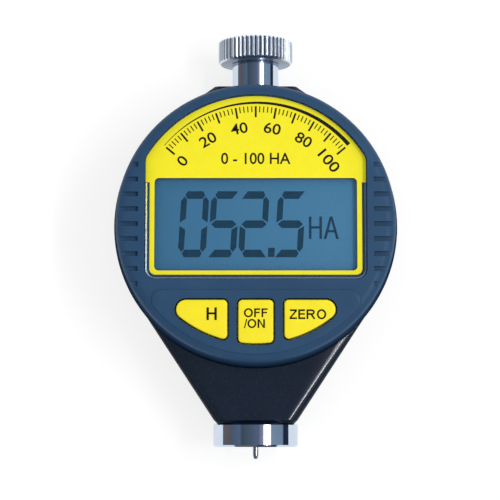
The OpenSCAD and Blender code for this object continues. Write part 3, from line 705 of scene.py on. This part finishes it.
def spring_coil():
    """The coil in the stem, with its end turns wound close."""
    bm = bmesh.new()
    low, high = (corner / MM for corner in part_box("measuring_spring"))
    radius = (high.x - low.x - WIRE) / 2
    length = high.y - low.y
    pitch = (length - WIRE - 2 * CLOSE_PITCH) / OPEN_TURNS

    def rise(turn):
        opened = min(max(turn - 1, 0), OPEN_TURNS)
        closed = min(turn, 1) + max(turn - 1 - OPEN_TURNS, 0)
        return WIRE / 2 + CLOSE_PITCH * closed + pitch * opened

    rings = []
    for i in range(TURNS * COIL_STEPS + 1):
        turn = i / COIL_STEPS
        a = 2 * math.pi * turn
        ring = []
        for k in range(WIRE_SIDES):
            b = 2 * math.pi * k / WIRE_SIDES
            r = radius + WIRE / 2 * math.cos(b)
            y = low.y + rise(turn) + WIRE / 2 * math.sin(b)
            ring.append(bm.verts.new((r * math.cos(a) * MM, y * MM, AXIS_Z - r * math.sin(a) * MM)))
        rings.append(ring)
    for a, b in zip(rings, rings[1:]):
        for k in range(WIRE_SIDES):
            n = (k + 1) % WIRE_SIDES
            bm.faces.new((a[k], a[n], b[n], b[k])).smooth = True
    for end in (rings[0], rings[-1]):
        bm.faces.new(end)
    coil = piece("spring_coil", bm, finishes["measuring_spring"], "housing")
    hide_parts("measuring_spring")
    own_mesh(coil)


spring_coil()


# Display figures, in millimetres

# Width and height of a figure, the height of its middle on the case, and its slant
CELL_W = 5.79
CELL_H = 13.82
MIDDLE_Y = -0.3
SLANT = 0.0577
# Width of the level and of the upright segments
BAR = 1.6
POST = 1.22
# Half the height of a figure, and the middle of its highest level segment
TOP = CELL_H / 2
HIGH_Y = TOP - BAR / 2
# Ends of level segments: how far in they lie at the top, the middle and the bottom
HEX = (1.3, 0.83, 1.3)
WAIST_LEFT = (1.15, 0.3, 1.15)
WAIST_RIGHT = (1.1, 0.24, 1.1)


def upright(left, upper):
    """One of the four upright segments of a figure."""
    points = [(0, TOP - 2.05), (0.67, TOP - 1.12), (POST, TOP - 1.72), (POST, 1.15), (0, 0.38)]
    return [(x if left else CELL_W - x, y if upper else -y) for x, y in points]


def level(y, left, right):
    """A level segment with these two ends."""
    heights = (y + BAR / 2, y, y - BAR / 2)
    left_end = list(zip(left, heights))
    right_end = [(CELL_W - x, h) for x, h in zip(right, heights)]
    return left_end + right_end[::-1]


FIGURES = {
    "0": [level(HIGH_Y, HEX, HEX), level(-HIGH_Y, HEX, HEX), upright(True, True), upright(True, False),
          upright(False, True), upright(False, False)],
    "5": [level(HIGH_Y, HEX, (0.25, 0.85, 1.45)), level(0, WAIST_LEFT, WAIST_RIGHT),
          level(-HIGH_Y, (1.34, 0.72, 0.1), HEX), upright(True, True), upright(False, False)],
    "2": [level(HIGH_Y, (1.25, 0.68, 0.12), HEX), level(0, WAIST_LEFT, WAIST_RIGHT),
          level(-HIGH_Y, HEX, (1.2, 0.6, 0.0)), upright(False, True), upright(True, False)],
}
# The reading, each figure with the place of its left edge, and the point in it
READING = (("0", -15.82), ("5", -9.56), ("2", -3.28), ("5", 4.27))
POINT = [(2.48, -7.14), (3.85, -7.14), (3.98, -5.22), (2.6, -5.22)]

# Unit beside the reading: its foot and head, then the H and the A
UNIT_LOW = -3.38
UNIT_HIGH = 1.31
H_LEFT = 11.04
H_RIGHT = 13.74
H_POST = 0.52
H_BAR = (-1.21, -0.73)
A_MIDDLE = 15.66
A_FOOT = 1.58
A_HEAD = 0.27
A_LEG = 0.56
A_BAR = (-2.0, -1.54)
A_PEAK = 0.54


def unit_h():
    """The outline of the H."""
    left = H_LEFT + H_POST
    right = H_RIGHT - H_POST
    under, over = H_BAR
    return [(H_LEFT, UNIT_LOW), (left, UNIT_LOW), (left, under), (right, under),
            (right, UNIT_LOW), (H_RIGHT, UNIT_LOW), (H_RIGHT, UNIT_HIGH), (right, UNIT_HIGH),
            (right, over), (left, over), (left, UNIT_HIGH), (H_LEFT, UNIT_HIGH)]


def a_leg(side, y, inset):
    """A point on the outer line of one of the A's legs, or set in from it."""
    x = A_FOOT - (A_FOOT - A_HEAD) * (y - UNIT_LOW) / (UNIT_HIGH - UNIT_LOW) - inset
    return (A_MIDDLE + side * x, y)


def unit_a():
    """The outline of the A and its eye."""
    under, over = A_BAR
    outline = [a_leg(-1, UNIT_LOW, 0), a_leg(-1, UNIT_LOW, A_LEG), a_leg(-1, under, A_LEG),
               a_leg(1, under, A_LEG), a_leg(1, UNIT_LOW, A_LEG), a_leg(1, UNIT_LOW, 0),
               a_leg(1, UNIT_HIGH, 0), a_leg(-1, UNIT_HIGH, 0)]
    return [outline, [a_leg(-1, over, A_LEG), (A_MIDDLE, A_PEAK), a_leg(1, over, A_LEG)]]


def display_figures():
    """The reading, in slanted seven-segment figures, and its unit in plain strokes."""
    bm = bmesh.new()
    z0, z1 = print_heights("lcd_panel")
    for figure, x0 in READING:
        for segment in FIGURES[figure]:
            prism(bm, [[(x0 + x + SLANT * y, y + MIDDLE_Y) for x, y in segment]], z0, z1)
    prism(bm, [POINT], z0, z1)
    prism(bm, [unit_h()], z0, z1)
    prism(bm, unit_a(), z0, z1)
    piece("display_figures", bm, segment_ink.mat, "housing")


display_figures()


# Key legends, in plain strokes: capitals of height one, drawn with one stroke width

STROKE = 0.175
LETTER_GAP = 0.13
# Bottom and top of the middle bar
WAIST = (0.45, 0.45 + 0.9 * STROKE)


def capital(letter):
    """The width and the loops of one capital, or of the slash."""
    s = STROKE
    w0, w1 = WAIST
    if letter == "H":
        wide = 0.76
        inner = wide - s
        return wide, [[(0, 0), (s, 0), (s, w0), (inner, w0), (inner, 0), (wide, 0),
                       (wide, 1), (inner, 1), (inner, w1), (s, w1), (s, 1), (0, 1)]]
    if letter == "E":
        wide = 0.68
        return wide, [[(0, 0), (wide, 0), (wide, s), (s, s), (s, w0), (0.64, w0),
                       (0.64, w1), (s, w1), (s, 1 - s), (0.66, 1 - s), (0.66, 1), (0, 1)]]
    if letter == "F":
        wide = 0.62
        return wide, [[(0, 0), (s, 0), (s, w0), (0.56, w0), (0.56, w1), (s, w1),
                       (s, 1 - s), (wide, 1 - s), (wide, 1), (0, 1)]]
    if letter == "N":
        wide = 0.76
        inner = wide - s
        return wide, [[(0, 0), (s, 0), (s, 0.74), (inner, 0), (wide, 0),
                       (wide, 1), (inner, 1), (inner, 0.26), (s, 1), (0, 1)]]
    if letter == "Z":
        wide = 0.72
        return wide, [[(0, 0), (wide, 0), (wide, s), (0.2, s), (wide, 1 - s),
                       (wide, 1), (0.04, 1), (0.04, 1 - s), (0.52, 1 - s), (0, s)]]
    if letter == "O":
        half_w = 0.46
        half_h = 0.52
        ring = bend(half_w, 0.5, half_w, half_h, 0, 360, 40)[:-1]
        return 2 * half_w, [ring, bend(half_w, 0.5, half_w - s, half_h - s, 0, 360, 40)[:-1]]
    if letter == "R":
        wide = 0.88
        bowl = bend(0.5, 0.715, 0.31, 0.285, -70, 90)
        eye = bend(0.48, 0.715, 0.165, 0.285 - s, -90, 90)
        return wide, [[(0, 0), (s, 0), (s, 0.43), (0.4, 0.43), (0.69, 0), (wide, 0), *bowl, (0, 1)],
                      [(s, 0.43 + s), *eye, (s, 1 - s)]]
    return 0.24, [[(0, -0.02), (0.12, -0.02), (0.36, 1.02), (0.24, 1.02)]]


def capitals(bm, words, low, high, z0, z1):
    """Capitals side by side, scaled to fill a box from low to high, in millimetres."""
    shapes = []
    reach = 0.0
    for letter in words:
        width, loops = capital(letter)
        shapes.append((reach, loops))
        reach += width + LETTER_GAP
    across = (high[0] - low[0]) / (reach - LETTER_GAP)
    up = high[1] - low[1]
    for start, loops in shapes:
        placed = [[(low[0] + (start + x) * across, low[1] + y * up) for x, y in loop] for loop in loops]
        prism(bm, placed, z0, z1)


def legend(name, body, words):
    """The words on one key, each with its box."""
    bm = bmesh.new()
    z0, z1 = print_heights(body)
    for text, low, high in words:
        capitals(bm, text, low, high, z0, z1)
    piece(name, bm, ink.mat, body)


legend("hold_legend", "hold_key", [("H", (-10.1, -20.5), (-8.0, -17.9))])
legend("power_legend", "power_key", [("OFF", (-2.45, -19.9), (2.4, -18.1)),
                                     ("/ON", (-2.45, -22.1), (1.85, -20.3))])
legend("zero_legend", "zero_key", [("ZERO", (6.9, -20.3), (14.4, -18.3))])


# Floor, light and camera, in metres

FLOOR_REACH = 3.0
FLOOR_Z = -0.0002
# Where the floor fades out for metal: to both sides, and beyond the foot
FADE_X = (0.09, 0.1)
FADE_Y = (-0.1, -0.11)


def grey(value):
    return (value, value, value, 1.0)


def floor():
    """A pale floor that shows as white with a soft shadow on it, and that metal mirrors only near by."""
    mesh = bpy.data.meshes.new("floor")
    corners = rectangle(-FLOOR_REACH, -FLOOR_REACH, FLOOR_REACH, FLOOR_REACH)
    mesh.from_pydata([(x, y, FLOOR_Z) for x, y in corners], [], [(0, 1, 2, 3)])
    obj = bpy.data.objects.new("floor", mesh)
    scene.collection.objects.link(obj)
    f = Finish("pale_floor")
    t = f.tree
    rays = add(t, "ShaderNodeLightPath").outputs
    seen = largest(t, rays["Is Camera Ray"], rays["Is Glossy Ray"], rays["Is Transmission Ray"])
    plain = add(t, "ShaderNodeBsdfDiffuse", {"Color": grey(0.8)})
    dim = add(t, "ShaderNodeBsdfDiffuse", {"Color": grey(0.32)})
    glow = add(t, "ShaderNodeEmission", {"Color": WHITE, "Strength": 0.74})
    bright = add(t, "ShaderNodeAddShader", {0: dim.outputs[0], 1: glow.outputs[0]})
    aside = remap(t, math_node(t, "ABSOLUTE", coordinate(t, f.coord, "X")), *FADE_X)
    away = largest(t, aside, remap(t, coordinate(t, f.coord, "Y"), *FADE_Y))
    gone = add(t, "ShaderNodeBsdfTransparent", {"Color": WHITE})
    f.show(blend(t, times(t, away, rays["Is Glossy Ray"]), blend(t, seen, plain, bright), gone))
    mesh.materials.append(f.mat)


floor()

# Even light on matt surfaces
AMBIENT = 0.7
# Studio walls as polished metal sees them: degrees from straight up towards the right, and colour
WALLS = [
    (-90, (0.16, 0.14, 0.14)),
    (-70, (0.14, 0.12, 0.13)),
    (-64, (0.10, 0.14, 0.20)),
    (-44, (0.12, 0.17, 0.24)),
    (-38, (0.065, 0.09, 0.115)),
    (-10, (0.10, 0.135, 0.17)),
    (-2, (0.115, 0.15, 0.22)),
    (8, (0.13, 0.155, 0.24)),
    (14, (0.30, 0.27, 0.33)),
    (19, (0.26, 0.31, 0.40)),
    (48, (0.27, 0.34, 0.42)),
    (77, (0.24, 0.32, 0.40)),
    (81, (0.02, 0.03, 0.06)),
    (90, (0.02, 0.03, 0.06)),
]
# The wall beyond the knob
FAR_WALL = (0.55, 0.6, 0.66, 1.0)


def studio():
    """Even light for matt surfaces, a white ground behind, and banded walls for metal to reflect."""
    world = bpy.data.worlds.new("studio")
    scene.world = world
    world.use_nodes = True
    t = world.node_tree
    towards = add(t, "ShaderNodeTexCoord").outputs["Generated"]
    turn = math_node(t, "ARCTAN2", coordinate(t, towards, "X"), coordinate(t, towards, "Z"))
    walls = add(t, "ShaderNodeValToRGB", {0: remap(t, turn, -math.pi / 2, math.pi / 2)})
    marks = walls.color_ramp.elements
    while len(marks) < len(WALLS):
        marks.new(0.5)
    for mark, (degrees, colour) in zip(marks, WALLS):
        mark.position = (degrees + 90) / 180
        mark.color = (*colour, 1.0)
    far = remap(t, coordinate(t, towards, "Y"), 0.23, 0.45, smooth=True)
    reflected = mix(t, far, walls.outputs["Color"], FAR_WALL)
    rays = add(t, "ShaderNodeLightPath").outputs
    light = mix(t, rays["Is Glossy Ray"], grey(AMBIENT), reflected)
    seen = largest(t, rays["Is Camera Ray"], rays["Is Transmission Ray"])
    ground = t.nodes["Background"]
    t.links.new(mix(t, seen, light, WHITE), ground.inputs["Color"])
    ground.inputs["Strength"].default_value = 1.0


studio()


def softbox(name, direction, distance, width, length, power):
    """A rectangular lamp that looks at the middle of the gauge, its length along the gauge."""
    lamp = bpy.data.lights.new(name, "AREA")
    lamp.shape = "RECTANGLE"
    lamp.size = width
    lamp.size_y = length
    lamp.energy = power
    obj = bpy.data.objects.new(name, lamp)
    scene.collection.objects.link(obj)
    away = Vector(direction).normalized()
    side = away.cross(Vector((0, 1, 0))).normalized()
    up = side.cross(away)
    place = Matrix.Translation(away * distance + Vector((0, 0, AXIS_Z)))
    obj.matrix_world = place @ Matrix((-side, up, away)).transposed().to_4x4()


# A broad lamp to the right of the viewer, with a bright tube in its middle
KEY_TURN = math.radians(31)
KEY_SIDE = (math.sin(KEY_TURN), 0.0, math.cos(KEY_TURN))
softbox("key_softbox", KEY_SIDE, distance=0.7, width=0.24, length=0.42, power=0.86)
softbox("key_tube", KEY_SIDE, distance=0.69, width=0.03, length=0.42, power=0.88)

# Camera as the photograph has it: its place from the measuring axis in millimetres, and its tilt
EYE_X = -1.2
EYE_Y = -46.3
EYE_UP = 383.8
EYE_TILT = math.radians(6.24)

camera = bpy.data.cameras.new("camera")
camera.lens = 129.72
camera.sensor_width = 36.0
camera.clip_start = 0.01
eye = bpy.data.objects.new("camera", camera)
eye.location = (EYE_X * MM, EYE_Y * MM, AXIS_Z + EYE_UP * MM)
eye.rotation_euler = (EYE_TILT, 0.0, 0.0)
scene.collection.objects.link(eye)
scene.camera = eye

scene.view_settings.view_transform = "Standard"
